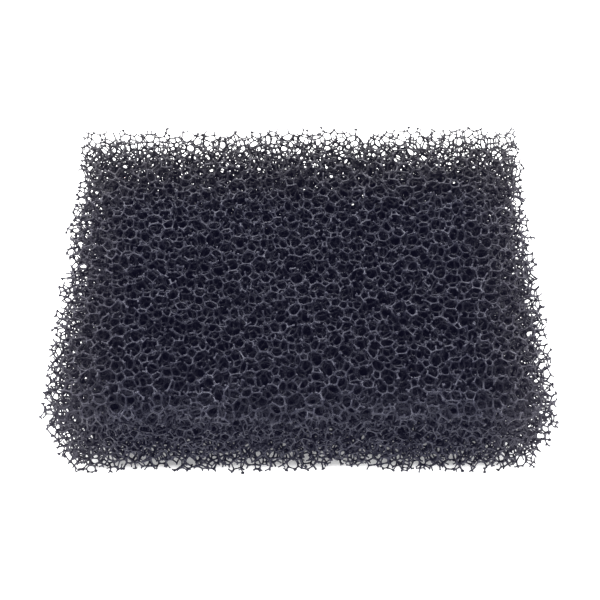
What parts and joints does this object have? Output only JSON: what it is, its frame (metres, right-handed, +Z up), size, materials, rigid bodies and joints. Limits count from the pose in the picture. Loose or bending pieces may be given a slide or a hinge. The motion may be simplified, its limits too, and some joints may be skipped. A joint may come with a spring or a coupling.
{
  "type": "foam air filter element",
  "caption": "Rectangular block of coarse black open-cell foam that filters a small engine's intake air, with flat knife-cut faces.",
  "frame": {"origin": "centre of the bottom face", "axes": "+X along the length, +Y along the width, +Z up through the thickness, which is the way the air flows"},
  "size_m": [0.102, 0.074, 0.028],
  "materials": {
    "foam": "charcoal polyurethane foam, satin struts round open pores"
  },
  "bodies": {
    "root": {"foam_block": "foam"}
  },
  "joints": []
}
